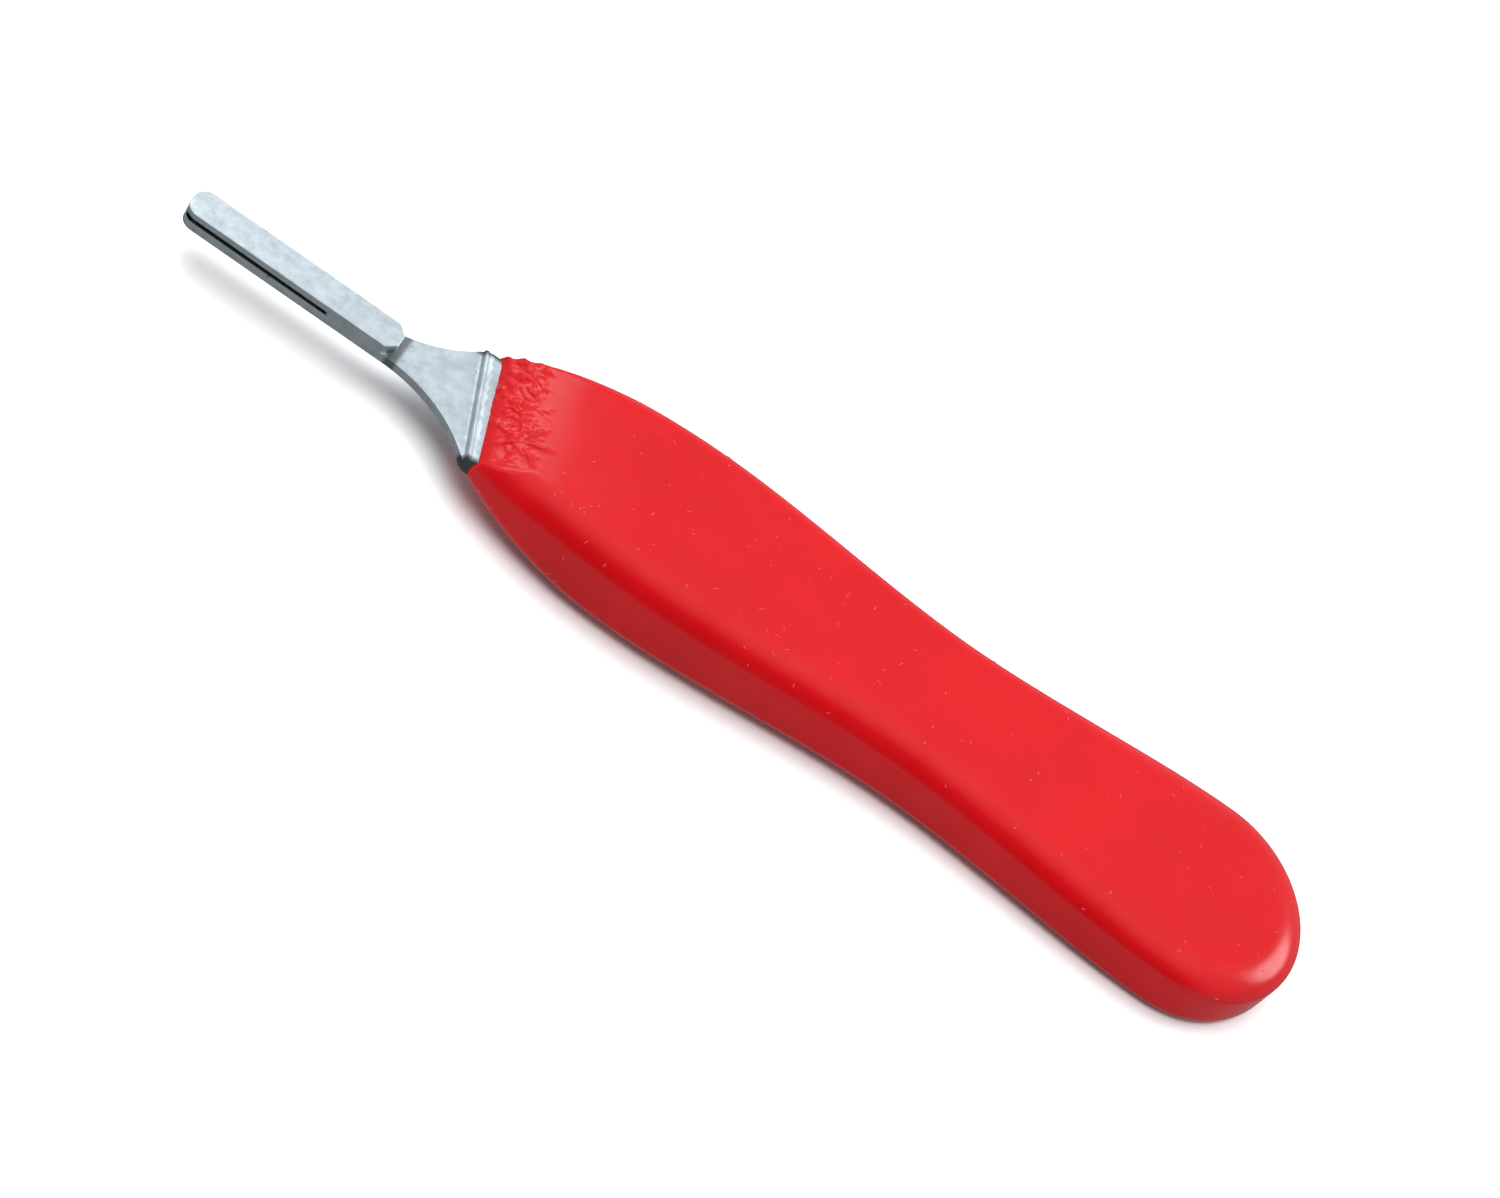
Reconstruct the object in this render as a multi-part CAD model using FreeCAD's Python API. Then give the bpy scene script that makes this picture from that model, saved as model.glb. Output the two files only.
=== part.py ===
import FreeCAD, Part
import math
import os

# Carving tool: a steel fitting for detachable blades with a plastic grip moulded round it.
# Two pieces: blade_holder is one steel blank with the blade fitting at its front and a tang
# at its rear, and handle_grip is the plastic moulded round the tang and through its holes.
# The pieces are drawn in the tool's own frame: +X from the nose to the butt, x = 0 at the
# middle of the grip's front edge, z = 0 halfway up the grip. Then the finished tool is laid
# down on the grip's underside, with the origin below the middle of its bounding box.

Vec = FreeCAD.Vector
ORIGIN = Vec(0, 0, 0)

# ---- driving dimensions, mm and degrees ----
# nose: a bar that the blade's slot slides along, held by a groove on each side
NOSE_REACH = 33.9            # from the grip's front edge to the tip
NOSE_WIDTH = 3.7
TIP_CORNER_RADIUS = 1.4
TIP_BOW = 0.45               # the tip's end bulges by this much between its corners
BOSS_LENGTH = 23.55          # the raised bar, from the tip
BOSS_HEIGHT = 1.1            # above the neck's top face
BOSS_REAR_CHAMFER = 1.1
GROOVE_LENGTH = 14.6
GROOVE_HEIGHT = 0.5
GROOVE_DEPTH = 0.5
GROOVE_CUTTER_RADIUS = 4.0   # each groove ends in the run-out of a round cutter
EDGE_BREAK = 0.12            # on the boss's top edges

# neck and shoulder
NECK_THICKNESS = 1.0
NECK_BOTTOM = -0.65          # the nose's and neck's underside
FLARE_RADIUS = 15.0          # each edge of the neck is one hollow arc
SHOULDER_SLANT = 18.5        # from square, with the +Y end nearer the tip
SHOULDER_HALF_WIDTH = 6.45
SHOULDER_SHIFT = -0.55       # the shoulder and the grip's front edge lie this far off the nose's line
SHOULDER_RAMP = 0.6          # length of the rounded step up from the neck
SHOULDER_LAND = 1.2          # bare steel between the step and the grip
SCORE_WIDTH = 0.48           # fine V line across the land
SCORE_DEPTH = 0.12

# tang, inside the grip
TANG_THICKNESS = 2.0
TANG_LENGTH = 60.0           # behind the grip's front edge
TANG_HALF_WIDTH = 4.8
TANG_ENTRY = 3.2             # the tang narrows over this length inside the grip
KEY_HOLE_RADIUS = 2.3
KEY_HOLE_COUNT = 3
KEY_HOLE_MARGIN = 9.0        # from the grip's front edge, and from the tang's end

# grip
GRIP_LENGTH = 94.45          # from the middle of its front edge to the butt
RIM_RADIUS = 2.2             # along both edges of the whole outline
GRIP_SLANT = 16.2            # the front edge, from square
FRONT_HALF_WIDTH = 7.0
FRONT_SIDE_ANGLE = 20.0      # the sides' direction at the front corners
FRONT_CORNER_RADIUS = RIM_RADIUS + 0.2
BELLY_STATION = 22.2         # widest place near the front
BELLY_HALF_WIDTH = 11.1
WAIST_STATION = 50.7
WAIST_HALF_WIDTH = 9.25
BUTT_RADIUS = 11.75
GRIP_THICKNESS = 9.1         # between the flat faces' planes at the front edge
FACE_SLOPE = 0.86            # each flat face falls toward the butt
FRONT_WALL = 2 * RIM_RADIUS + 0.2   # the front edge is its two rims with a narrow flat between
DOME_RUN = 18.0              # the front swells to full thickness over this length

# what is left of the moulding gate, on the butt
NIB_RADIUS = 1.0
NIB_HEIGHT = 0.3
NIB_ANGLE = 20.0             # round the butt from its middle, towards +Y

# ---- derived sizes and places ----
TIP_X = -NOSE_REACH
BOSS_REAR_X = TIP_X + BOSS_LENGTH
NECK_TOP = NECK_BOTTOM + NECK_THICKNESS
BOSS_TOP = NECK_TOP + BOSS_HEIGHT
NOSE_HALF = NOSE_WIDTH / 2
TANG_TOP = TANG_THICKNESS / 2
SHOULDER_X = -SHOULDER_LAND - SHOULDER_RAMP
BUTT_CENTRE = GRIP_LENGTH - BUTT_RADIUS
REACH = 200.0                # longer than anything that it cuts


def tan(degrees):
    return math.tan(math.radians(degrees))


def path(points):
    """Straight edges from each point to the next."""
    return [Part.LineSegment(a, b).toShape() for a, b in zip(points, points[1:])]


def arc(a, through, b):
    return Part.Arc(a, through, b).toShape()


def closed(edges):
    return Part.Wire(Part.__sortEdges__(edges))


def prism(wire, z0, z1):
    """A flat outline drawn at z = 0, made into a solid from z0 to z1."""
    face = Part.Face(wire)
    face.translate(Vec(0, 0, z0))
    return face.extrude(Vec(0, 0, z1 - z0))


def slanted_bar(wire, slant, rise):
    """A side profile drawn at y = 0, drawn out both ways along a slanted line."""
    along = Vec(-tan(slant), 1, rise) * REACH
    face = Part.Face(wire)
    face.translate(along * -0.5)
    return face.extrude(along)


def upright_edges(solid, rear_x):
    """Edges along Z that lie in front of rear_x."""
    picked = []
    for edge in solid.Edges:
        box = edge.BoundBox
        if box.XLength < 1e-4 and box.YLength < 1e-4 and box.XMax < rear_x:
            picked.append(edge)
    return picked


# ---- blade holder ----
def nose_bar():
    """The bar under the blade: bowed tip, octagonal rear end, full height all along."""
    low = TIP_X + TIP_BOW
    cut = BOSS_REAR_CHAMFER
    half = [Vec(BOSS_REAR_X, NOSE_HALF - cut, 0), Vec(BOSS_REAR_X - cut, NOSE_HALF, 0)]
    half.append(Vec(low, NOSE_HALF, 0))
    other_half = [Vec(p.x, -p.y, 0) for p in reversed(half)]
    tip = arc(half[-1], Vec(TIP_X, 0, 0), other_half[0])
    rear = path([other_half[-1], half[0]])
    bar = prism(closed(path(half) + [tip] + path(other_half) + rear), NECK_BOTTOM, BOSS_TOP)
    bar = bar.makeFillet(TIP_CORNER_RADIUS, upright_edges(bar, TIP_X + BOSS_LENGTH / 2))
    top_edges = [edge for edge in bar.Edges if edge.BoundBox.ZMin > BOSS_TOP - 1e-4]
    return bar.makeFillet(EDGE_BREAK, top_edges)


def side_groove():
    """What the cutter takes from the +Y side, with its floor level with the neck's top face."""
    radius = GROOVE_CUTTER_RADIUS
    centre = Vec(TIP_X + GROOVE_LENGTH, NOSE_HALF - GROOVE_DEPTH + radius, 0)
    deepest = centre - Vec(0, radius, 0)
    leaving = centre + Vec(radius, 0, 0)
    through = centre + Vec(1, -1, 0) * (radius * math.sqrt(0.5))
    front = Vec(TIP_X - 1, deepest.y, 0)
    outer = Vec(front.x, leaving.y, 0)
    edges = path([leaving, outer, front, deepest]) + [arc(deepest, through, leaving)]
    return prism(closed(edges), NECK_TOP, NECK_TOP + GROOVE_HEIGHT)


def plate_side(side):
    """One side of neck, shoulder and tang in plan: the edges, and the side's two end points."""
    front = Vec(BOSS_REAR_X - 2 * BOSS_REAR_CHAMFER, side * NOSE_HALF, 0)
    start = Vec(BOSS_REAR_X, front.y, 0)
    shoulder_y = side * SHOULDER_HALF_WIDTH + SHOULDER_SHIFT
    end = Vec(SHOULDER_X - shoulder_y * tan(SHOULDER_SLANT), shoulder_y, 0)
    lip = end - Vec(SHOULDER_X, 0, 0)
    entered = Vec(lip.x + TANG_ENTRY, side * TANG_HALF_WIDTH, 0)
    tail = Vec(TANG_LENGTH - TANG_HALF_WIDTH, entered.y, 0)
    chord = end - start
    inward = Vec(chord.y, -chord.x, 0) * (side / chord.Length)
    sag = FLARE_RADIUS - math.sqrt(FLARE_RADIUS**2 - chord.Length**2 / 4)
    flare = arc(start, start + chord * 0.5 + inward * sag, end)
    return path([front, start]) + [flare] + path([end, lip, entered, tail]), front, tail


def plate_outline():
    far, far_front, far_tail = plate_side(1)
    near, near_front, near_tail = plate_side(-1)
    tang_end = arc(far_tail, Vec(TANG_LENGTH, 0, 0), near_tail)
    return closed(far + near + path([far_front, near_front]) + [tang_end])


def plate_profile():
    """The plate from the side: thin neck, rounded step, scored land, tang."""
    def at(x, z):
        return Vec(x, 0, z)
    ramp = SHOULDER_RAMP
    step = TANG_TOP - NECK_TOP
    foot = at(SHOULDER_X, NECK_TOP)
    knee = at(SHOULDER_X + ramp * 0.4, NECK_TOP + step * 0.45)
    crest = at(SHOULDER_X + ramp, TANG_TOP)
    hollow = arc(foot, at(SHOULDER_X + ramp * 0.28, NECK_TOP + step * 0.14), knee)
    rounded = arc(knee, at(SHOULDER_X + ramp * 0.6, NECK_TOP + step * 0.86), crest)
    score = at(crest.x + SCORE_WIDTH / 2, TANG_TOP - SCORE_DEPTH)
    scored = at(crest.x + SCORE_WIDTH, TANG_TOP)
    tail = TANG_LENGTH + 1
    over = [crest, score, scored, at(tail, TANG_TOP)]
    under = [at(tail, -TANG_TOP), at(crest.x, -TANG_TOP), at(SHOULDER_X, NECK_BOTTOM)]
    front = [at(TIP_X, NECK_BOTTOM), at(TIP_X, NECK_TOP), foot]
    return closed([hollow, rounded] + path(over + under + front))


def key_holes():
    """Holes through the tang that the plastic fills, evenly spaced."""
    pitch = (TANG_LENGTH - 2 * KEY_HOLE_MARGIN) / (KEY_HOLE_COUNT - 1)
    holes = []
    for i in range(KEY_HOLE_COUNT):
        foot = Vec(KEY_HOLE_MARGIN + i * pitch, 0, -TANG_THICKNESS)
        holes.append(Part.makeCylinder(KEY_HOLE_RADIUS, 2 * TANG_THICKNESS, foot))
    return holes


def blade_holder():
    plate = prism(plate_outline(), -TANG_THICKNESS, TANG_THICKNESS)
    plate = plate.common(slanted_bar(plate_profile(), SHOULDER_SLANT, 0))
    plate = plate.cut(Part.makeCompound(key_holes()))
    groove = side_groove()
    grooves = Part.makeCompound([groove, groove.mirror(ORIGIN, Vec(0, 1, 0))])
    return nose_bar().fuse(plate).cut(grooves).removeSplitter()


# ---- grip ----
def easy_curve(a, b, slope_a, slope_b):
    """A cubic from a to b with the given slopes dy/dx at its ends."""
    third = (b.x - a.x) / 3
    curve = Part.BezierCurve()
    curve.setPoles([a, a + Vec(third, third * slope_a, 0), b - Vec(third, third * slope_b, 0), b])
    return curve.toShape()


def grip_side(side):
    """One side in plan: from the front corner past belly and waist to the butt's round."""
    front_y = side * FRONT_HALF_WIDTH + SHOULDER_SHIFT
    front = Vec(-front_y * tan(GRIP_SLANT), front_y, 0)
    belly = Vec(BELLY_STATION, side * BELLY_HALF_WIDTH, 0)
    waist = Vec(WAIST_STATION, side * WAIST_HALF_WIDTH, 0)
    butt = Vec(BUTT_CENTRE, side * BUTT_RADIUS, 0)
    edges = [easy_curve(front, belly, side * tan(FRONT_SIDE_ANGLE), 0)]
    edges.append(easy_curve(belly, waist, 0, 0))
    edges.append(easy_curve(waist, butt, 0, 0))
    return edges, front, butt


def grip_outline():
    far, far_front, far_butt = grip_side(1)
    near, near_front, near_butt = grip_side(-1)
    butt_round = arc(far_butt, Vec(GRIP_LENGTH, 0, 0), near_butt)
    return closed(far + near + path([far_front, near_front]) + [butt_round])


def under_top():
    """All that lies below the grip's top: a rounded swell at the front, then a flat face."""
    slope = tan(FACE_SLOPE)
    half = GRIP_THICKNESS / 2
    lip = Vec(0, 0, FRONT_WALL / 2)
    crest = Vec(DOME_RUN, 0, half - slope * DOME_RUN)
    steep = lip + Vec(DOME_RUN * 0.1, 0, (crest.z - lip.z) * 0.4)
    level = crest + Vec(-1, 0, slope) * (DOME_RUN * 0.45)
    swell = Part.BezierCurve()
    swell.setPoles([lip, steep, level, crest])
    end = GRIP_LENGTH + BUTT_RADIUS
    beyond = [crest, Vec(end, 0, half - slope * end), Vec(end, 0, -GRIP_THICKNESS)]
    before = [Vec(-BUTT_RADIUS, 0, -GRIP_THICKNESS), Vec(-BUTT_RADIUS, 0, lip.z), lip]
    profile = closed([swell.toShape()] + path(beyond + before))
    return slanted_bar(profile, GRIP_SLANT, slope * tan(GRIP_SLANT))


def rim_edges(body):
    """Where the side wall meets top and bottom: edges neither upright nor across a face."""
    picked = []
    for edge in body.Edges:
        box = edge.BoundBox
        upright = box.XLength < 1e-3 and box.YLength < 1e-3
        middle = edge.valueAt((edge.FirstParameter + edge.LastParameter) / 2)
        across = abs(middle.y) < FRONT_HALF_WIDTH / 2 and DOME_RUN / 2 < middle.x < BUTT_CENTRE
        if not upright and not across:
            picked.append(edge)
    return picked


def gate_nib():
    """The stub left where the plastic entered the mould, square to the butt's round."""
    turn = math.radians(NIB_ANGLE)
    outward = Vec(math.cos(turn), math.sin(turn), 0)
    inside = Vec(BUTT_CENTRE, 0, 0) + outward * (BUTT_RADIUS - NIB_RADIUS)
    return Part.makeCylinder(NIB_RADIUS, NIB_RADIUS + NIB_HEIGHT, inside, outward)


def handle_grip(holder):
    body = prism(grip_outline(), -GRIP_THICKNESS, GRIP_THICKNESS)
    body = body.makeFillet(FRONT_CORNER_RADIUS, upright_edges(body, BELLY_STATION / 2))
    below_top = under_top()
    above_bottom = below_top.mirror(ORIGIN, Vec(0, 0, 1))
    body = body.common(below_top).common(above_bottom)
    body = body.makeFillet(RIM_RADIUS, rim_edges(body))
    return body.fuse(gate_nib()).cut(holder)


def laid_down(shape):
    """The piece in the part's frame: the tool rests on the grip's flat underside."""
    shape = shape.copy()
    shape.rotate(ORIGIN, Vec(0, 1, 0), FACE_SLOPE)
    middle_x = (GRIP_LENGTH - NOSE_REACH) / 2
    rest_z = GRIP_THICKNESS / 2 * math.cos(math.radians(FACE_SLOPE))
    shape.translate(Vec(-middle_x, 0, rest_z))
    return shape


os.makedirs("parts", exist_ok=True)
holder = blade_holder()
pieces = {"blade_holder": holder, "handle_grip": handle_grip(holder)}
for name, shape in pieces.items():
    laid_down(shape).exportStep("parts/" + name + ".step")
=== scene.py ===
import math
import bmesh
import bpy
import numpy as np
from mathutils import Matrix, Vector


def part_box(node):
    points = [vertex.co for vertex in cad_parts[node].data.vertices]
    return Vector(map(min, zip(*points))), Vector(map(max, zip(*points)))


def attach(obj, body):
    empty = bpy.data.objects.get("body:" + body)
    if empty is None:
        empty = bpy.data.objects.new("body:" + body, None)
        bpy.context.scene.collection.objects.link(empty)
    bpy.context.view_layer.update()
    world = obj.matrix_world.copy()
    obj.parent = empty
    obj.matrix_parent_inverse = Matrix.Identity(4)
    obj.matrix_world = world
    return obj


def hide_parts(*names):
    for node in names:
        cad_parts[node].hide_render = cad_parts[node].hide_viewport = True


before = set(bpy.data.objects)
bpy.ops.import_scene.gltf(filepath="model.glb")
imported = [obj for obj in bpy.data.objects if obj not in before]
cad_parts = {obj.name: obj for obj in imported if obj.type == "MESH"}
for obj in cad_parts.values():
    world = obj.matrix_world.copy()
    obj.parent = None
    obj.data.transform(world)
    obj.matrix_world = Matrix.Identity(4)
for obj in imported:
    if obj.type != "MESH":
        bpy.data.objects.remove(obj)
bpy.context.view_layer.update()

# Carving tool: a plated steel blade holder with a glossy red plastic grip moulded round its
# tang. Sizes are in millimetres in the tool's own frame: +X from nose to butt, x = 0 at the
# middle of the grip's front edge, z = 0 halfway up the grip. TO_PART takes a point from there
# to the part's frame, in metres, with the tool lying on the grip's flat underside.
MM = 0.001
FACE_SLOPE = math.radians(0.86)      # each flat face of the grip falls toward the butt
GRIP_LENGTH = 94.45
GRIP_THICKNESS = 9.1
REST_HEIGHT = GRIP_THICKNESS / 2 * math.cos(FACE_SLOPE)
GRIP_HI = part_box("handle_grip")[1]
TO_PART = (
    Matrix.Translation((GRIP_HI.x - GRIP_LENGTH * MM, 0, REST_HEIGHT * MM))
    @ Matrix.Rotation(FACE_SLOPE, 4, "Y")
    @ Matrix.Scale(MM, 4)
)


# ---- nodes ----
MULTIPLY = {"operation": "MULTIPLY"}
SUBTRACT = {"operation": "SUBTRACT"}
EASED = {"interpolation_type": "SMOOTHSTEP"}


def linear(hex_colour):
    """An sRGB hex colour as linear RGBA."""
    values = [int(hex_colour[i:i + 2], 16) / 255 for i in (0, 2, 4)]
    return tuple(v / 12.92 if v <= 0.04045 else ((v + 0.055) / 1.055) ** 2.4 for v in values) + (1,)


def add(tree, kind, inputs=None, **settings):
    """One node with its settings; inputs gives each socket a value, or what to link it from."""
    node = tree.nodes.new(kind)
    for name, value in settings.items():
        setattr(node, name, value)
    for name, value in (inputs or {}).items():
        if isinstance(value, bpy.types.Node):
            value = value.outputs[0]
        if isinstance(value, bpy.types.NodeSocket):
            tree.links.new(value, node.inputs[name])
        else:
            node.inputs[name].default_value = value
    return node


def scale_for(size):
    """The texture scale that makes a pattern's features about this many millimetres."""
    return 1 / (size * MM)


# ---- the grip's form ----
GRIP_SLANT = math.radians(15.5)      # the front edge, from square
FRONT_OFFSET = -0.3                  # the thin lip creeps forward along the steel
FRONT_HALF_WIDTH = 6.95
FRONT_SHIFT = -0.45                  # the front edge's middle lies off the nose's line
FRONT_SIDE_ANGLE = math.radians(22)
FRONT_CORNER_RADIUS = 0.5
BELLY = (22.2, 11.1)                 # station and half width
WAIST = (50.7, 9.25)
BUTT_RADIUS = 11.75
BUTT_CENTRE = GRIP_LENGTH - BUTT_RADIUS
FAN_CENTRE = 10.0                    # the front's sections all look to this station
LIP = 1.35                           # the skin's half thickness where the steel comes out
SWELL_RUN = 17.0
SWELL_POWER = 2.3
TOP_SINK = 0.07                      # shrinkage leaves the top face this much below full height
SINK_MARKS = ((25.3, 4.6, 1.8, 0.10), (34.2, 3.0, 1.3, 0.06), (55.4, 1.8, 1.4, 0.07))
NIB_ANGLE = math.radians(20)         # what is left of the gate, round the butt towards +Y
NIB_HEIGHT = 0.3
NIB_WIDTH = 1.0
RIM_FULL_AT = 14.0                   # the rims are full this far behind the front edge
TAIL_START = 62.0
TAIL_RUN = 22.0
LIP_RIM = 1.2                        # how far in a rim's round begins, at the lip
TOP_RIM_GAIN = 2.8                   # what the top rim gains with the swell
NEAR_RIM_GAIN = 2.0                  # and on the near side, just behind the lip
FAR_RIM_LOSS = 1.3                   # the far side has less of it, as far as the tail
LOW_RIM_GAIN = 1.3
LOW_RIM_LOSS = 1.2
TOP_RIM_SHARES = (0.92, 0.2, 0.12)   # rim height over half thickness: at the lip, less with the
LOW_RIM_SHARES = (0.8, 0.3, 0.15)    # swell, and less at the tail
RIM_FULLNESS = 2.08                  # the rim's section, a little fuller than an ellipse's 2
RIM_STEPS = 15
TOP_ROWS = 56
WALL_ROWS = 7
UNDER_ROWS = 9
FINE_STEP = 0.15                     # mesh spacing round the front, and along the plain sides
COARSE_STEP = 0.75
WELD = 0.012


def smooth(t):
    """An eased step from 0 to 1."""
    return t * t * (3 - 2 * t)


def easy(a, b, slope_a, slope_b, x):
    """The cubic through (x, y) points a and b with the given slopes there."""
    span = b[0] - a[0]
    t = (x - a[0]) / span
    k0, k3 = (1 - t) ** 3, t ** 3
    k1, k2 = 3 * t * (1 - t) ** 2, 3 * t * t * (1 - t)
    third = span / 3
    return k0 * a[1] + k1 * (a[1] + third * slope_a) + k2 * (b[1] - third * slope_b) + k3 * b[1]


def side_width(x, side):
    """Half width of the grip at station x, on the +1 or the -1 side."""
    front_y = side * FRONT_HALF_WIDTH + FRONT_SHIFT
    front = (FRONT_OFFSET - front_y * math.tan(GRIP_SLANT), abs(front_y))
    butt = (BUTT_CENTRE, BUTT_RADIUS)
    if x < BELLY[0]:
        return easy(front, BELLY, math.tan(FRONT_SIDE_ANGLE), 0, x)
    if x < WAIST[0]:
        return easy(BELLY, WAIST, 0, 0, x)
    return easy(WAIST, butt, 0, 0, x)


def spread(a, b, step_a, step_b):
    """Values from a to b whose spacing goes from step_a to step_b."""
    count = max(2, round(abs(b - a) / ((step_a + step_b) / 2)))
    t = np.linspace(0, 1, count + 1)
    ramp = step_a * t + (step_b - step_a) * t * t / 2
    return a + (b - a) * ramp / ramp[-1]


def front_corner(side):
    """The round at one front corner in plan, from the side to the front edge."""
    slant = math.tan(GRIP_SLANT)
    front_y = side * FRONT_HALF_WIDTH + FRONT_SHIFT
    corner = np.array([FRONT_OFFSET - front_y * slant, front_y])
    back = np.array([math.cos(FRONT_SIDE_ANGLE), side * math.sin(FRONT_SIDE_ANGLE)])
    across = np.array([slant, -1.0]) * side
    across /= np.linalg.norm(across)
    half = math.acos(back @ across) / 2
    cut = FRONT_CORNER_RADIUS / math.tan(half)
    inward = (back + across) / np.linalg.norm(back + across)
    centre = corner + inward * FRONT_CORNER_RADIUS / math.sin(half)
    first, last = corner + back * cut - centre, corner + across * cut - centre
    turn = math.atan2(first[0] * last[1] - first[1] * last[0], first @ last)
    angles = turn * np.linspace(0, 1, 14)
    return [centre + np.array([first[0] * math.cos(a) - first[1] * math.sin(a),
                               first[0] * math.sin(a) + first[1] * math.cos(a)]) for a in angles]


def grip_outline():
    """The grip in plan, once round: outline points, and for each the core point it faces."""
    def side_points(stations, side):
        return [(np.array([x, side * side_width(x, side)]), np.array([max(x, FAN_CENTRE), 0.0]))
                for x in stations]

    front_core = np.array([FAN_CENTRE, 0.0])
    butt_core = np.array([BUTT_CENTRE, 0.0])
    far_corner, near_corner = front_corner(1), front_corner(-1)
    fine, coarse = FINE_STEP, COARSE_STEP
    points = side_points(spread(far_corner[0][0] + fine, FAN_CENTRE, fine, fine), 1)
    points += side_points(spread(FAN_CENTRE, BUTT_CENTRE, fine, coarse)[1:], 1)
    for a in spread(math.pi / 2, -math.pi / 2, 0.05, 0.05)[1:]:
        points.append((butt_core + BUTT_RADIUS * np.array([math.cos(a), math.sin(a)]), butt_core))
    points += side_points(spread(BUTT_CENTRE, FAN_CENTRE, coarse, fine)[1:], -1)
    points += side_points(spread(FAN_CENTRE, near_corner[0][0] + fine, fine, fine)[1:], -1)
    points += [(p, front_core) for p in near_corner]
    length = np.linalg.norm(far_corner[-1] - near_corner[-1])
    for t in np.linspace(0, 1, round(length / fine) + 1)[1:-1]:
        points.append((near_corner[-1] + (far_corner[-1] - near_corner[-1]) * t, front_core))
    points += [(p, front_core) for p in reversed(far_corner)]
    return np.array([p for p, _ in points]), np.array([c for _, c in points])


def face_height(x, y):
    """Height of the flat face's plane, drawn down to the lip by the swell at the front."""
    back = x + y * math.tan(GRIP_SLANT)
    full = GRIP_THICKNESS / 2 - math.tan(FACE_SLOPE) * x
    t = np.clip(back / SWELL_RUN, 0, 1)
    return LIP + (full - LIP) * (1 - (1 - t) ** SWELL_POWER)


def grip_mesh():
    """The grip as one closed skin: rows of points from the underside round the rims to the top."""
    outline, core = grip_outline()
    count = len(outline)
    along = np.roll(outline, -1, axis=0) - np.roll(outline, 1, axis=0)
    along /= np.linalg.norm(along, axis=1)[:, None]
    inward = np.stack([along[:, 1], -along[:, 0]], axis=1)
    look = core - outline
    depth = np.linalg.norm(look, axis=1)
    look /= depth[:, None]
    facing = np.clip((inward * look).sum(axis=1), 0.35, 1)
    edge_height = face_height(outline[:, 0], outline[:, 1])
    back = outline[:, 0] + outline[:, 1] * math.tan(GRIP_SLANT)
    grown = smooth(np.clip(back / RIM_FULL_AT, 0, 1))
    tail = smooth(np.clip((back - TAIL_START) / TAIL_RUN, 0, 1))
    near_side = smooth(np.clip(-outline[:, 1] / 3, 0, 1) * np.clip(back / 3.5, 0, 1))
    early = near_side * (1 - grown)
    far_side = np.clip(outline[:, 1] / 4, 0, 1) * (1 - tail)
    rim_reach = LIP_RIM + TOP_RIM_GAIN * grown + NEAR_RIM_GAIN * early - FAR_RIM_LOSS * far_side * grown
    rim_drop = edge_height * (TOP_RIM_SHARES[0] - TOP_RIM_SHARES[1] * grown - TOP_RIM_SHARES[2] * tail)
    low_reach = LIP_RIM + LOW_RIM_GAIN * grown - LOW_RIM_LOSS * tail
    low_drop = edge_height * (LOW_RIM_SHARES[0] - LOW_RIM_SHARES[1] * grown - LOW_RIM_SHARES[2] * tail)
    about_nib = np.arctan2(outline[:, 1], outline[:, 0] - BUTT_CENTRE) - NIB_ANGLE
    nib = NIB_HEIGHT * np.exp(-(about_nib * BUTT_RADIUS / NIB_WIDTH) ** 4) * (back > BUTT_CENTRE)
    rows = []

    def rim(angle, reach, drop, up):
        """One row of a rim: its points in plan and their heights."""
        c = math.cos(angle) ** (2 / RIM_FULLNESS)
        s = math.sin(angle) ** (2 / RIM_FULLNESS)
        inset = reach * (1 - c) / facing
        xy = outline + look * inset[:, None]
        return xy, up * (np.abs(edge_height) - drop + drop * s)

    # the underside from the core line out, its rim, the side wall, the top rim and the top
    angles = np.linspace(0, math.pi / 2, RIM_STEPS)
    low_xy = rim(math.pi / 2, low_reach, low_drop, -1)[0]
    for t in np.linspace(0, 1, UNDER_ROWS)[:-1]:
        xy = core + (low_xy - core) * t
        rows.append((xy, -face_height(xy[:, 0], xy[:, 1])))
    for a in angles[::-1]:
        xy, z = rim(a, low_reach, low_drop, -1)
        lift = face_height(xy[:, 0], xy[:, 1]) - edge_height
        rows.append((xy, z - lift * math.sin(a)))
    wall_low = rows[-1][1]
    wall_high = rim(0, rim_reach, rim_drop, 1)[1]
    for t in np.linspace(0, 1, WALL_ROWS)[1:-1]:
        bulge = outline - look * (nib * math.sin(math.pi * t))[:, None]
        rows.append((bulge, wall_low + (wall_high - wall_low) * t))
    for a in angles:
        xy, z = rim(a, rim_reach, rim_drop, 1)
        lift = face_height(xy[:, 0], xy[:, 1]) - edge_height - TOP_SINK
        rows.append((xy, z + lift * math.sin(a)))
    top_xy = rows[-1][0]
    for t in np.linspace(0, 1, TOP_ROWS)[1:]:
        xy = top_xy + (core - top_xy) * t
        z = face_height(xy[:, 0], xy[:, 1]) - TOP_SINK
        for sink_x, sink_y, sink_radius, sink_depth in SINK_MARKS:
            far = np.hypot(xy[:, 0] - sink_x, xy[:, 1] - sink_y) / sink_radius
            z = z - sink_depth * np.exp(-far ** 2)
        rows.append((xy, z))
    verts = np.array([np.column_stack([xy, z]) for xy, z in rows]).reshape(-1, 3)
    mesh = bpy.data.meshes.new("handle_grip_skin")
    faces = []
    for r in range(len(rows) - 1):
        for i in range(count):
            j = (i + 1) % count
            faces.append((r * count + i, r * count + j, (r + 1) * count + j, (r + 1) * count + i))
    mesh.from_pydata(verts.tolist(), [], faces)
    work = bmesh.new()
    work.from_mesh(mesh)
    bmesh.ops.remove_doubles(work, verts=work.verts, dist=WELD)
    bmesh.ops.recalc_face_normals(work, faces=work.faces)
    for face in work.faces:
        face.smooth = True
    work.to_mesh(mesh)
    work.free()
    mesh.transform(TO_PART)
    return mesh


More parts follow.
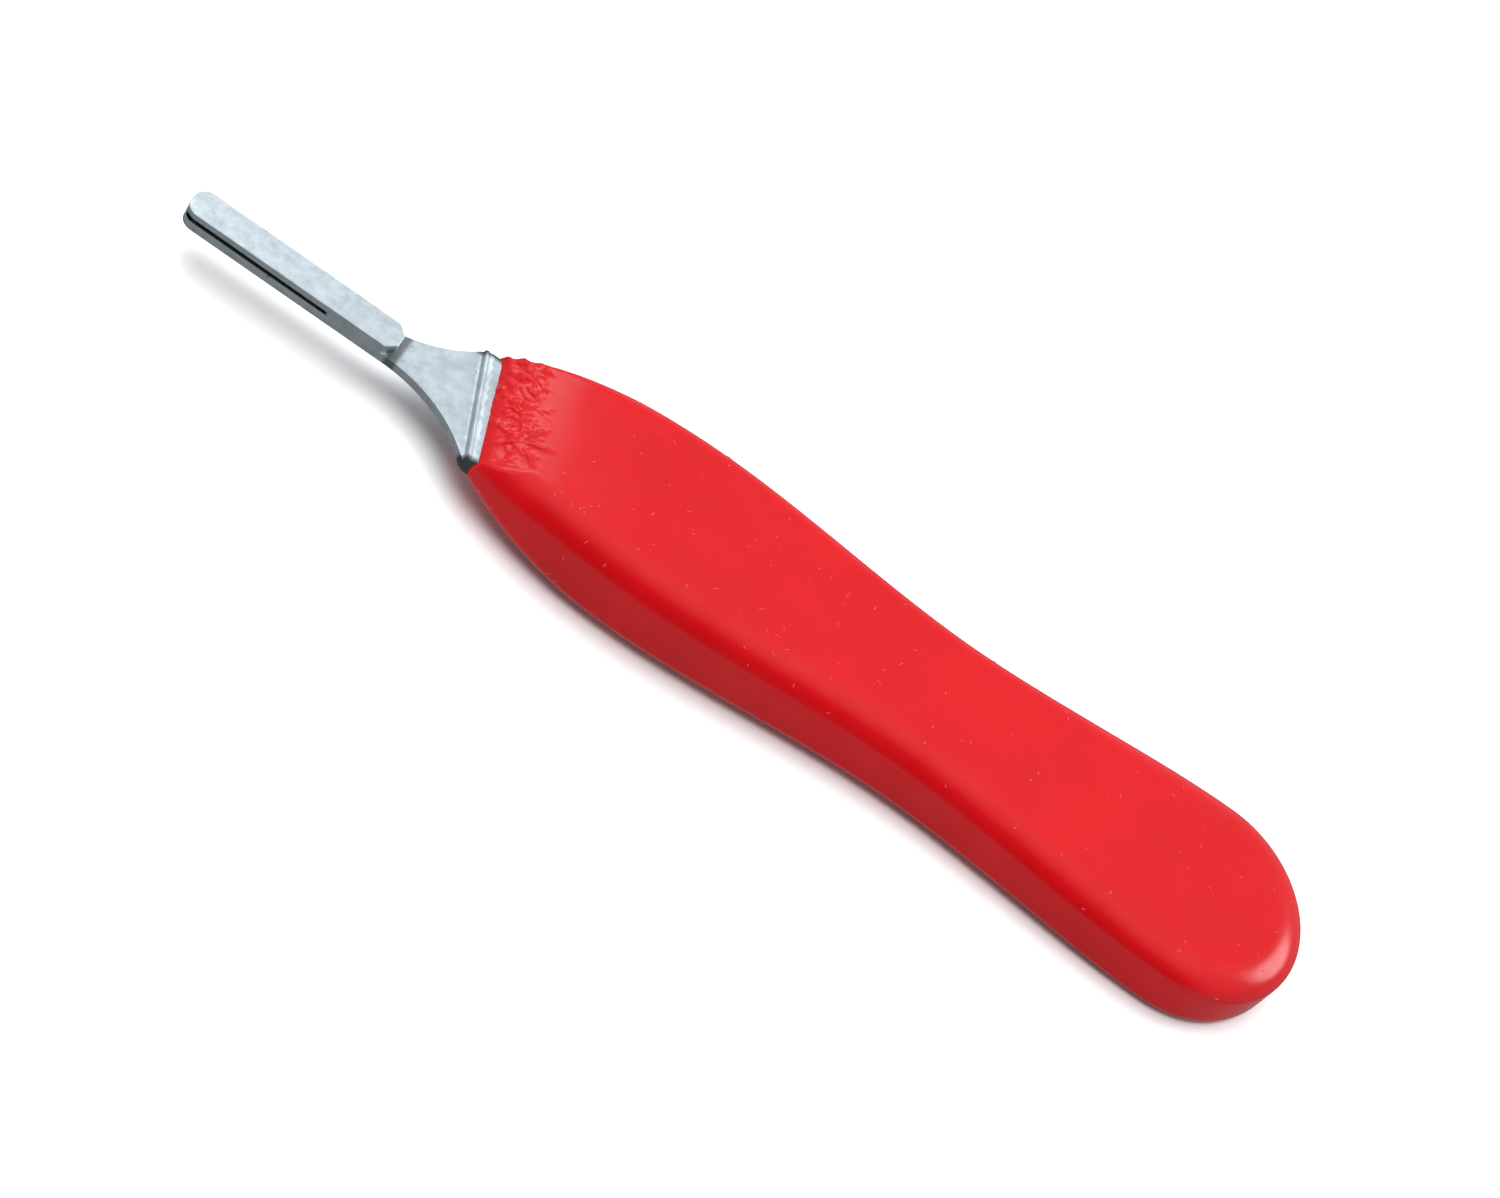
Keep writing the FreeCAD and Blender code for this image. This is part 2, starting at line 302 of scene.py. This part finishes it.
# ---- marks left by the moulding ----
STAR_CENTRE = (4.2, -2.9)            # folds run out from here
STAR_RAYS = 7.0
DASH_CENTRE = (11.8, -6.6)           # a row of dashes on the near rim
DASH_HALF = (3.6, 0.6)
DASH_WEIGHT = 26.0                   # how many times the usual number of specks
LOW_FRONT = 7.0                      # specks also gather low down, about this far behind the lip
LOW_FRONT_WEIGHT = 9.0
SPECK_WIDTH = 0.13
SPECK_DEPTH = 0.12
WRINKLE_SIZES = ("Wrinkle Height", "Wrinkle Cell", "Wrinkle Reach")
SPECK_SIZES = ("Speck Spacing", "Speck Length")


def near(tree, value, middle, half):
    """1 at the middle, falling to 0 half a width away."""
    away = add(tree, "ShaderNodeMath", {0: value, 1: middle}, **SUBTRACT)
    away = add(tree, "ShaderNodeMath", {0: away}, operation="ABSOLUTE")
    return add(tree, "ShaderNodeMapRange",
               {"Value": away, "From Min": half, "From Max": half * 0.6}, **EASED)


def marks_tree(material):
    """Wrinkles behind the front edge, and specks and hairs of flash over the rest of the skin."""
    tree = bpy.data.node_groups.new("moulding_marks", "GeometryNodeTree")
    face = tree.interface
    face.new_socket("Geometry", in_out="INPUT", socket_type="NodeSocketGeometry")
    for name in WRINKLE_SIZES + SPECK_SIZES:
        face.new_socket(name, in_out="INPUT", socket_type="NodeSocketFloat")
    face.new_socket("Seed", in_out="INPUT", socket_type="NodeSocketInt")
    face.new_socket("Geometry", in_out="OUTPUT", socket_type="NodeSocketGeometry")
    given = add(tree, "NodeGroupInput").outputs

    # where each point lies, in millimetres in the tool's frame, and how far behind the lip
    here = add(tree, "GeometryNodeInputPosition")
    normal = add(tree, "GeometryNodeInputNormal")
    offset = add(tree, "ShaderNodeVectorMath", {0: here, 1: TO_PART @ Vector((0, 0, 0))}, **SUBTRACT)
    local = add(tree, "ShaderNodeVectorMath", {0: offset, "Scale": 1 / MM}, operation="SCALE")
    spot = add(tree, "ShaderNodeSeparateXYZ", {0: local}).outputs
    lip_way = (math.cos(GRIP_SLANT), math.sin(GRIP_SLANT), 0)
    behind = add(tree, "ShaderNodeVectorMath", {0: local, 1: lip_way}, operation="DOT_PRODUCT")
    behind = behind.outputs["Value"]
    up = add(tree, "ShaderNodeSeparateXYZ", {0: normal}).outputs[2]
    upper = add(tree, "ShaderNodeMapRange", {"Value": up, "From Min": 0.35, "From Max": 0.8}, **EASED)
    warp = add(tree, "ShaderNodeTexNoise", {"Vector": local, "Scale": 0.9, "Detail": 2})
    swing = add(tree, "ShaderNodeMath", {0: warp.outputs["Fac"], 1: 0.5}, **SUBTRACT)
    ragged = add(tree, "ShaderNodeMath", {0: swing, 1: 6.0, 2: behind}, operation="MULTIPLY_ADD")
    cell = add(tree, "ShaderNodeMath", {0: 1.0, 1: given["Wrinkle Cell"]}, operation="DIVIDE")
    push = add(tree, "ShaderNodeVectorMath", {0: warp.outputs["Color"], "Scale": 0.9}, operation="SCALE")
    warped = add(tree, "ShaderNodeVectorMath", {0: local, 1: push}, operation="ADD")

    # rounded dabs just behind the lip, fainter on the near side
    cells = add(tree, "ShaderNodeTexVoronoi", {"Vector": warped, "Scale": cell, "Smoothness": 0.35},
                feature="SMOOTH_F1")
    dabs = add(tree, "ShaderNodeMapRange",
               {"Value": cells.outputs["Distance"], "From Min": 0.62, "From Max": 0.12}, **EASED)
    reach = add(tree, "ShaderNodeMath", {0: given["Wrinkle Reach"], 1: 0.8}, **MULTIPLY)
    start = add(tree, "ShaderNodeMapRange", {"Value": behind, "From Min": -0.2, "From Max": 0.35}, **EASED)
    stop = add(tree, "ShaderNodeMapRange", {"Value": ragged, "From Min": reach, "From Max": 1.6}, **EASED)
    zone = add(tree, "ShaderNodeMath", {0: start, 1: stop}, **MULTIPLY)
    side = add(tree, "ShaderNodeMapRange",
               {"Value": spot[1], "From Min": -4.5, "From Max": 0.5, "To Min": 0.12}, **EASED)
    zone = add(tree, "ShaderNodeMath", {0: zone, 1: side}, **MULTIPLY)
    dabs = add(tree, "ShaderNodeMath", {0: dabs, 1: zone}, **MULTIPLY)

    # worm-like folds behind them
    fold_cell = add(tree, "ShaderNodeMath", {0: cell, 1: 0.8}, **MULTIPLY)
    folds = add(tree, "ShaderNodeTexNoise", {"Vector": warped, "Scale": fold_cell, "Detail": 1})
    crest = add(tree, "ShaderNodeMath", {0: folds.outputs["Fac"], 1: 0.5}, **SUBTRACT)
    crest = add(tree, "ShaderNodeMath", {0: crest}, operation="ABSOLUTE")
    fold = add(tree, "ShaderNodeMapRange", {"Value": crest, "From Min": 0.07, "From Max": 0.0}, **EASED)
    start = add(tree, "ShaderNodeMapRange", {"Value": behind, "From Min": 0.8, "From Max": 2.0}, **EASED)
    stop = add(tree, "ShaderNodeMapRange",
               {"Value": ragged, "From Min": given["Wrinkle Reach"], "From Max": 2.0}, **EASED)
    zone = add(tree, "ShaderNodeMath", {0: start, 1: stop}, **MULTIPLY)
    side = add(tree, "ShaderNodeMapRange",
               {"Value": spot[1], "From Min": -6.5, "From Max": -3.0, "To Min": 0.2}, **EASED)
    zone = add(tree, "ShaderNodeMath", {0: zone, 1: side}, **MULTIPLY)
    fold = add(tree, "ShaderNodeMath", {0: fold, 1: zone}, **MULTIPLY)

    # a star of folds near the corner
    star_x = add(tree, "ShaderNodeMath", {0: spot[0], 1: STAR_CENTRE[0]}, **SUBTRACT)
    star_y = add(tree, "ShaderNodeMath", {0: spot[1], 1: STAR_CENTRE[1]}, **SUBTRACT)
    square_x = add(tree, "ShaderNodeMath", {0: star_x, 1: star_x}, **MULTIPLY)
    square_y = add(tree, "ShaderNodeMath", {0: star_y, 1: star_y}, **MULTIPLY)
    radius = add(tree, "ShaderNodeMath", {0: square_x, 1: square_y}, operation="ADD")
    radius = add(tree, "ShaderNodeMath", {0: radius}, operation="SQRT")
    round_star = add(tree, "ShaderNodeMath", {0: star_y, 1: star_x}, operation="ARCTAN2")
    wave = add(tree, "ShaderNodeMath", {0: round_star, 1: STAR_RAYS, 2: warp.outputs["Fac"]},
               operation="MULTIPLY_ADD")
    wave = add(tree, "ShaderNodeMath", {0: wave}, operation="SINE")
    rays = add(tree, "ShaderNodeMapRange", {"Value": wave, "From Min": 0.6, "From Max": 1.0}, **EASED)
    start = add(tree, "ShaderNodeMapRange", {"Value": radius, "From Min": 0.3, "From Max": 0.8}, **EASED)
    stop = add(tree, "ShaderNodeMapRange", {"Value": radius, "From Min": 3.6, "From Max": 1.8}, **EASED)
    zone = add(tree, "ShaderNodeMath", {0: start, 1: stop}, **MULTIPLY)
    star = add(tree, "ShaderNodeMath", {0: rays, 1: zone}, **MULTIPLY)

    # all three lift the skin where it faces up
    fold = add(tree, "ShaderNodeMath", {0: fold, 1: 0.75}, **MULTIPLY)
    star = add(tree, "ShaderNodeMath", {0: star, 1: 0.6}, **MULTIPLY)
    height = add(tree, "ShaderNodeMath", {0: dabs, 1: fold}, operation="ADD")
    height = add(tree, "ShaderNodeMath", {0: height, 1: star}, operation="ADD")
    height = add(tree, "ShaderNodeMath", {0: height, 1: upper}, **MULTIPLY)
    height = add(tree, "ShaderNodeMath", {0: height, 1: given["Wrinkle Height"]}, **MULTIPLY)
    lift = add(tree, "ShaderNodeVectorMath", {0: normal, "Scale": height}, operation="SCALE")
    skin = add(tree, "GeometryNodeSetPosition", {"Geometry": given["Geometry"], "Offset": lift})

    # specks: thin everywhere, thick in a row of dashes on the near rim and along the lower front
    dash_x = near(tree, spot[0], DASH_CENTRE[0], DASH_HALF[0])
    dash_y = near(tree, spot[1], DASH_CENTRE[1], DASH_HALF[1])
    dashes = add(tree, "ShaderNodeMath", {0: dash_x, 1: dash_y}, **MULTIPLY)
    dashes = add(tree, "ShaderNodeMath", {0: dashes, 1: DASH_WEIGHT}, **MULTIPLY)
    low = near(tree, behind, LOW_FRONT, LOW_FRONT)
    under = add(tree, "ShaderNodeMapRange", {"Value": up, "From Min": 0.1, "From Max": -0.2}, **EASED)
    low = add(tree, "ShaderNodeMath", {0: low, 1: under}, **MULTIPLY)
    side = add(tree, "ShaderNodeMapRange", {"Value": spot[1], "From Min": -3.0, "From Max": -5.0}, **EASED)
    low = add(tree, "ShaderNodeMath", {0: low, 1: side}, **MULTIPLY)
    low = add(tree, "ShaderNodeMath", {0: low, 1: LOW_FRONT_WEIGHT}, **MULTIPLY)
    share = add(tree, "ShaderNodeMath", {0: dashes, 1: low}, operation="ADD")
    top = add(tree, "ShaderNodeMapRange", {"Value": up, "From Min": 0.2, "From Max": 0.7}, **EASED)
    share = add(tree, "ShaderNodeMath", {0: share, 1: top}, operation="ADD")
    plot = add(tree, "ShaderNodeMath", {0: given["Speck Spacing"], 1: given["Speck Spacing"]}, **MULTIPLY)
    density = add(tree, "ShaderNodeMath", {0: share, 1: plot}, operation="DIVIDE")
    points = add(tree, "GeometryNodeDistributePointsOnFaces",
                 {"Mesh": skin, "Density": density, "Seed": given["Seed"]}, distribute_method="RANDOM")
    grain = add(tree, "GeometryNodeMeshUVSphere", {"Segments": 8, "Rings": 5, "Radius": 0.5})
    # the specks carry a mark that the shader turns into a paler pink: a painted highlight
    grain = add(tree, "GeometryNodeStoreNamedAttribute",
                {"Geometry": grain.outputs["Mesh"], "Name": "painted_speck_highlight", "Value": 1.0})
    spin = add(tree, "FunctionNodeRandomValue", {2: 0.0, 3: math.pi, "Seed": given["Seed"]},
               data_type="FLOAT")
    along = add(tree, "ShaderNodeCombineXYZ", {2: spin.outputs[1]})
    turn = add(tree, "FunctionNodeRotateRotation", {0: points.outputs["Rotation"], 1: along},
               rotation_space="LOCAL")
    long_seed = add(tree, "ShaderNodeMath", {0: given["Seed"], 1: 11.0}, operation="ADD")
    stretch = add(tree, "FunctionNodeRandomValue", {2: 0.3, 3: 1.0, "Seed": long_seed},
                  data_type="FLOAT")
    length = add(tree, "ShaderNodeMath", {0: stretch.outputs[1], 1: given["Speck Length"]}, **MULTIPLY)
    size = add(tree, "ShaderNodeCombineXYZ", {0: length, 1: SPECK_WIDTH * MM, 2: SPECK_DEPTH * MM})
    specks = add(tree, "GeometryNodeInstanceOnPoints",
                 {"Points": points.outputs["Points"], "Instance": grain, "Rotation": turn, "Scale": size})
    joined = add(tree, "GeometryNodeJoinGeometry")
    tree.links.new(skin.outputs[0], joined.inputs[0])
    tree.links.new(specks.outputs[0], joined.inputs[0])
    real = add(tree, "GeometryNodeRealizeInstances", {0: joined})
    evened = add(tree, "GeometryNodeSetShadeSmooth", {"Geometry": real})
    coated = add(tree, "GeometryNodeSetMaterial", {"Geometry": evened, "Material": material})
    add(tree, "NodeGroupOutput", {0: coated})
    return tree


def marked(mesh, tree, **values):
    """The mesh after the tree, with the named inputs set, as a plain mesh."""
    carrier = bpy.data.objects.new("carrier", mesh)
    bpy.context.scene.collection.objects.link(carrier)
    modifier = carrier.modifiers.new("marks", "NODES")
    modifier.node_group = tree
    for item in tree.interface.items_tree:
        if item.in_out == "INPUT" and item.name in values:
            modifier[item.identifier] = values[item.name]
    evaluated = carrier.evaluated_get(bpy.context.evaluated_depsgraph_get())
    result = bpy.data.meshes.new_from_object(evaluated)
    carrier.modifiers.clear()
    bpy.data.objects.remove(carrier)
    return result


def place(name, mesh, material):
    """The mesh as an object at the origin, in one material."""
    piece = bpy.data.objects.new(name, mesh)
    bpy.context.scene.collection.objects.link(piece)
    mesh.materials.clear()
    mesh.materials.append(material)
    return piece


# ---- the steel ----
NOSE_HALF = 1.85
GROOVE_FLOOR = 0.33                  # the groove lies between these heights
GROOVE_ROOF = 0.87
GROOVE_END = -16.2
GROOVE_FADE = 1.6
BOSS_REAR = -10.35
SHOULDER_SLANT = math.radians(18.5)
SHOULDER_SHIFT = -0.55
PLATED_EDGE = 0.07                   # plating rounds every edge by about this much
STEP_ALONG = 0.4                     # mesh spacing on what shows
STEP_ACROSS = 0.5
TUCKED = 4.0                         # the fine mesh goes on this far inside the grip


def holder_mesh():
    """The blade holder with its edges softened by plating, and a fine even mesh on what shows."""
    work = bmesh.new()
    work.from_mesh(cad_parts["blade_holder"].data)
    bmesh.ops.remove_doubles(work, verts=work.verts, dist=0.002 * MM)
    bmesh.ops.dissolve_limit(work, angle_limit=math.radians(0.8), verts=work.verts, edges=work.edges)
    corner = math.radians(28)
    sharp = [e for e in work.edges if len(e.link_faces) == 2 and e.calc_face_angle(0) > corner]
    bmesh.ops.bevel(work, geom=sharp, offset=PLATED_EDGE * MM, offset_type="OFFSET", segments=2, profile=0.5,
                    affect="EDGES", clamp_overlap=True)
    lo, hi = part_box("blade_holder")
    front_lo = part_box("handle_grip")[0]
    for x in np.arange(lo.x + 0.1 * MM, front_lo.x + TUCKED * MM, STEP_ALONG * MM):
        geom = work.verts[:] + work.edges[:] + work.faces[:]
        bmesh.ops.bisect_plane(work, geom=geom, plane_co=(x, 0, 0), plane_no=(1, 0, 0), dist=1e-7)
    for y in np.arange(lo.y + 0.2 * MM, hi.y, STEP_ACROSS * MM):
        geom = work.verts[:] + work.edges[:] + work.faces[:]
        bmesh.ops.bisect_plane(work, geom=geom, plane_co=(0, y, 0), plane_no=(0, 1, 0), dist=1e-7)
    # painted shade: a near-black share where the groove, the boss's foot and the land's ends lie in shadow
    painted_recess_shade = work.verts.layers.float.new("painted_recess_shade")
    to_tool = TO_PART.inverted()
    for vert in work.verts:
        spot = to_tool @ vert.co
        in_groove = abs(spot.y) < NOSE_HALF - 0.06 and GROOVE_FLOOR < spot.z < GROOVE_ROOF
        groove = min(max((GROOVE_END - spot.x) / GROOVE_FADE, 0), 1) if in_groove else 0
        boss_foot = abs(spot.x - BOSS_REAR) < 0.6 and spot.z < 1.1
        from_land = abs(spot.x + spot.y * math.tan(SHOULDER_SLANT) + 0.9)
        land_end = from_land < 1.4 and abs(spot.y - SHOULDER_SHIFT) > 6.05
        vert[painted_recess_shade] = max(groove, 0.8 * land_end, 0.65 * boss_foot)
    # painted shade: the more upright a face, the darker its colour
    painted_side_shade = work.faces.layers.float.new("painted_side_shade")
    for face in work.faces:
        face.smooth = True
        face[painted_side_shade] = 1 - abs(face.normal.z)
    mesh = bpy.data.meshes.new("blade_holder_plated")
    work.to_mesh(mesh)
    work.free()
    mesh.set_sharp_from_angle(angle=math.radians(32))
    return mesh


# ---- materials ----
def new_material(name):
    """An empty node material: itself, its tree and its surface shader."""
    material = bpy.data.materials.new(name)
    material.use_nodes = True
    tree = material.node_tree
    tree.nodes.clear()
    surface = add(tree, "ShaderNodeBsdfPrincipled")
    add(tree, "ShaderNodeOutputMaterial", {"Surface": surface.outputs[0]})
    return material, tree, surface


# Red plastic, taken to be polypropylene, injection moulded in a polished mould. That gives a
# clear gloss with a slight waviness and a colour that is almost even. Flecks of flash stand up
# from the skin; their paler colour is a painted highlight.
CLOUD = 12.0                         # sizes of the colour drift, the smears and the waviness
SMEAR = 4.0
WAVINESS = 2.2
WAVE_HEIGHT = 0.03


def moulded_red_plastic():
    material, tree, surface = new_material("moulded_red_plastic")
    surface.inputs["IOR"].default_value = 1.38
    where = add(tree, "ShaderNodeTexCoord").outputs["Object"]
    cloud = add(tree, "ShaderNodeTexNoise",
                {"Vector": where, "Scale": scale_for(CLOUD), "Detail": 4, "Roughness": 0.6})
    tint = add(tree, "ShaderNodeValToRGB", {"Fac": cloud.outputs["Fac"]})
    tint.color_ramp.elements[0].position = 0.35
    tint.color_ramp.elements[0].color = linear("b4070e")
    tint.color_ramp.elements[1].position = 0.65
    tint.color_ramp.elements[1].color = linear("bc0811")
    # painted highlight: the specks are drawn a paler pink than the skin
    painted_speck_highlight = add(tree, "ShaderNodeAttribute", attribute_name="painted_speck_highlight").outputs["Fac"]
    colour = add(tree, "ShaderNodeMix", {"Factor": painted_speck_highlight, 6: tint, 7: linear("d8484e")},
                 data_type="RGBA")
    tree.links.new(colour.outputs[2], surface.inputs["Base Color"])
    smear = add(tree, "ShaderNodeTexNoise",
                {"Vector": where, "Scale": scale_for(SMEAR), "Detail": 5, "Roughness": 0.65})
    rough = add(tree, "ShaderNodeMapRange", {"Value": smear.outputs["Fac"], "From Min": 0.3,
                                             "From Max": 0.7, "To Min": 0.16, "To Max": 0.26})
    tree.links.new(rough.outputs[0], surface.inputs["Roughness"])
    ripple = add(tree, "ShaderNodeTexNoise",
                 {"Vector": where, "Scale": scale_for(WAVINESS), "Detail": 3, "Roughness": 0.5})
    peel = add(tree, "ShaderNodeBump",
               {"Height": ripple.outputs["Fac"], "Strength": 0.3, "Distance": WAVE_HEIGHT * MM})
    tree.links.new(peel.outputs[0], surface.inputs["Normal"])
    return material


# Nickel plate over stamped steel, left satin. That gives broad soft highlights, faint scratches
# along the bar and a few tarnish spots. Upright sides are drawn a duller grey as painted shade,
# and the groove, the boss's foot and the land's ends near black as painted shade. Real
# scratches and spots are finer than this; they are drawn coarse enough to show.
MOTTLE = 1.6
TARNISH_SPOT = 0.7
SCRATCH_LENGTH = 8.0
SCRATCH_WIDTH = 0.35
SCRATCH_DEPTH = 0.04


def satin_nickel_plate():
    material, tree, surface = new_material("satin_nickel_plate")
    surface.inputs["Metallic"].default_value = 1
    where = add(tree, "ShaderNodeTexCoord").outputs["Object"]
    mottle = add(tree, "ShaderNodeTexNoise",
                 {"Vector": where, "Scale": scale_for(MOTTLE), "Detail": 5, "Roughness": 0.65})
    spots = add(tree, "ShaderNodeTexNoise",
                {"Vector": where, "Scale": scale_for(TARNISH_SPOT), "Detail": 3, "Roughness": 0.6})
    tint = add(tree, "ShaderNodeValToRGB", {"Fac": mottle.outputs["Fac"]})
    tint.color_ramp.elements[0].position = 0.34
    tint.color_ramp.elements[0].color = linear("cdd9df")
    tint.color_ramp.elements[1].position = 0.62
    tint.color_ramp.elements[1].color = linear("e6f1f7")
    dark = add(tree, "ShaderNodeMapRange",
               {"Value": spots.outputs["Fac"], "From Min": 0.66, "From Max": 0.76})
    spotted = add(tree, "ShaderNodeMix", {"Factor": dark, 6: tint, 7: linear("8f9996")},
                  data_type="RGBA").outputs[2]
    # painted shade: this mask darkens the colour to near black in the recesses
    painted_recess_shade = add(tree, "ShaderNodeAttribute", attribute_name="painted_recess_shade").outputs["Fac"]
    # painted shade: upright faces are drawn a darker grey-green
    side_shade_factor = add(tree, "ShaderNodeAttribute", attribute_name="painted_side_shade").outputs["Fac"]
    side_shade_factor = add(tree, "ShaderNodeMath", {0: side_shade_factor, 1: 0.3}, **MULTIPLY)
    sides = add(tree, "ShaderNodeMix", {"Factor": side_shade_factor, 6: spotted, 7: linear("8d948e")},
                data_type="RGBA").outputs[2]
    colour = add(tree, "ShaderNodeMix", {"Factor": painted_recess_shade, 6: sides, 7: linear("181a19")},
                 data_type="RGBA")
    tree.links.new(colour.outputs[2], surface.inputs["Base Color"])
    rough = add(tree, "ShaderNodeMapRange", {"Value": mottle.outputs["Fac"], "From Min": 0.3,
                                             "From Max": 0.7, "To Min": 0.52, "To Max": 0.38})
    tree.links.new(rough.outputs[0], surface.inputs["Roughness"])
    fine = scale_for(SCRATCH_WIDTH)
    lay = add(tree, "ShaderNodeMapping",
              {"Vector": where, "Scale": (scale_for(SCRATCH_LENGTH), fine, fine)})
    scratches = add(tree, "ShaderNodeTexNoise",
                    {"Vector": lay, "Scale": 1, "Detail": 4, "Roughness": 0.7})
    grain = add(tree, "ShaderNodeBump",
                {"Height": scratches.outputs["Fac"], "Strength": 0.25, "Distance": SCRATCH_DEPTH * MM})
    tree.links.new(grain.outputs[0], surface.inputs["Normal"])
    return material


# ---- stage ----
FLOOR_HALF = 2.0                     # metres


def make_stage():
    """A white table and a soft studio, which is dimmer toward the viewer and toward the ground."""
    mesh = bpy.data.meshes.new("floor")
    size = FLOOR_HALF
    corners = [(-size, -size, 0), (size, -size, 0), (size, size, 0), (-size, size, 0)]
    mesh.from_pydata(corners, [], [(0, 1, 2, 3)])
    material, tree, surface = new_material("matt_white_table")
    surface.inputs["Base Color"].default_value = linear("fdfdfd")
    surface.inputs["Roughness"].default_value = 0.9
    surface.inputs["Specular IOR Level"].default_value = 0.1
    floor = place("floor", mesh, material)
    floor.visible_glossy = False     # it lights the tool but isn't mirrored in it
    world = bpy.data.worlds.new("studio")
    bpy.context.scene.world = world
    world.use_nodes = True
    tree = world.node_tree
    tree.nodes.clear()
    where = add(tree, "ShaderNodeTexCoord")
    front = Vector((-0.1, -0.68, 0.72)).normalized()
    facing = add(tree, "ShaderNodeVectorMath", {0: where.outputs["Generated"], 1: front},
                 operation="DOT_PRODUCT")
    facing = facing.outputs["Value"]
    dim = add(tree, "ShaderNodeMapRange", {"Value": facing, "From Min": 0.5, "From Max": 0.93,
                                           "To Min": 1.0, "To Max": 0.12}, **EASED)
    high = add(tree, "ShaderNodeSeparateXYZ", {0: where.outputs["Generated"]})
    fall = add(tree, "ShaderNodeMapRange", {"Value": high.outputs[2], "From Min": 0.25, "From Max": 0.75,
                                            "To Min": 0.6, "To Max": 0.78}, **EASED)
    back = add(tree, "ShaderNodeMapRange", {"Value": high.outputs[1], "From Min": 0.35, "From Max": 0.9,
                                            "To Min": 1.0, "To Max": 0.9}, **EASED)
    ground = add(tree, "ShaderNodeMapRange", {"Value": high.outputs[2], "From Min": -0.02, "From Max": -0.3,
                                              "To Min": 1.0, "To Max": 0.5}, **EASED)
    sky = add(tree, "ShaderNodeMath", {0: dim, 1: back}, **MULTIPLY)
    low = add(tree, "ShaderNodeMath", {0: sky, 1: ground}, **MULTIPLY)
    level = add(tree, "ShaderNodeMath", {0: low, 1: fall}, **MULTIPLY)
    background = add(tree, "ShaderNodeBackground", {"Color": linear("f8fbff"), "Strength": level})
    add(tree, "ShaderNodeOutputWorld", {"Surface": background.outputs[0]})


def soft_box(name, direction, distance, size, power, mirrored=True):
    """A round area light aimed at the origin; one that isn't mirrored never shows in the gloss."""
    data = bpy.data.lights.new(name, "AREA")
    data.shape = "DISK"
    data.size = size
    data.energy = power
    light = bpy.data.objects.new(name, data)
    light.visible_glossy = mirrored
    towards = Vector(direction).normalized()
    light.location = towards * distance
    light.rotation_mode = "QUATERNION"
    light.rotation_quaternion = towards.to_track_quat("Z", "Y")
    bpy.context.scene.collection.objects.link(light)


# ---- camera ----
# A short telephoto view, from above and a little to the nose's side, turned so that the tool
# lies along the frame's diagonal.
CAMERA_AZIMUTH = math.radians(-7.17)
CAMERA_ELEVATION = math.radians(46.95)
CAMERA_ROLL = math.radians(39.41)
CAMERA_DISTANCE = 320 * MM
CAMERA_LENS = 80.41
CAMERA_AIM = Vector((0, 0, 4.5 * MM))
CAMERA_SLIDE = Vector((-0.02, -0.67, 0)) * MM
SENSOR_WIDTH = 36


def make_camera():
    """The camera, looking at the aim from its azimuth and elevation, then rolled and slid."""
    azimuth, elevation = CAMERA_AZIMUTH, CAMERA_ELEVATION
    back = Vector((
        math.sin(azimuth) * math.cos(elevation),
        -math.cos(azimuth) * math.cos(elevation),
        math.sin(elevation),
    ))
    data = bpy.data.cameras.new("camera")
    data.lens = CAMERA_LENS
    data.sensor_width = SENSOR_WIDTH
    data.sensor_fit = "HORIZONTAL"
    data.clip_start = 0.01
    camera = bpy.data.objects.new("camera", data)
    turn = back.to_track_quat("Z", "Y").to_matrix().to_4x4()
    roll = Matrix.Rotation(CAMERA_ROLL, 4, "Z")
    slide = Matrix.Translation(CAMERA_SLIDE)
    stand = Matrix.Translation(CAMERA_AIM + back * CAMERA_DISTANCE)
    camera.matrix_world = stand @ turn @ roll @ slide
    bpy.context.scene.collection.objects.link(camera)
    bpy.context.scene.camera = camera


bpy.context.scene.view_settings.view_transform = "Standard"
make_camera()
make_stage()
soft_box("key_light", (0.7, 0.5, 0.54), distance=0.8, size=0.3, power=1.5)
soft_box("front_sheen", (-0.42, 0.66, 0.62), distance=0.8, size=0.3, power=0.7)
soft_box("top_light", (-0.1, 0.16, 0.98), distance=1.0, size=1.3, power=15.2, mirrored=False)
red_plastic = moulded_red_plastic()
nickel = satin_nickel_plate()
marks = {"Wrinkle Height": 0.18 * MM, "Wrinkle Cell": 1.1, "Wrinkle Reach": 6.0,
         "Speck Spacing": 4.2 * MM, "Speck Length": 0.7 * MM, "Seed": 12}
grip_skin = marked(grip_mesh(), marks_tree(red_plastic), **marks)
grip = place("handle_grip_moulding", grip_skin, red_plastic)
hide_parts("handle_grip")
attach(grip, "root")
holder = place("blade_holder_plated", holder_mesh(), nickel)
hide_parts("blade_holder")
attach(holder, "root")
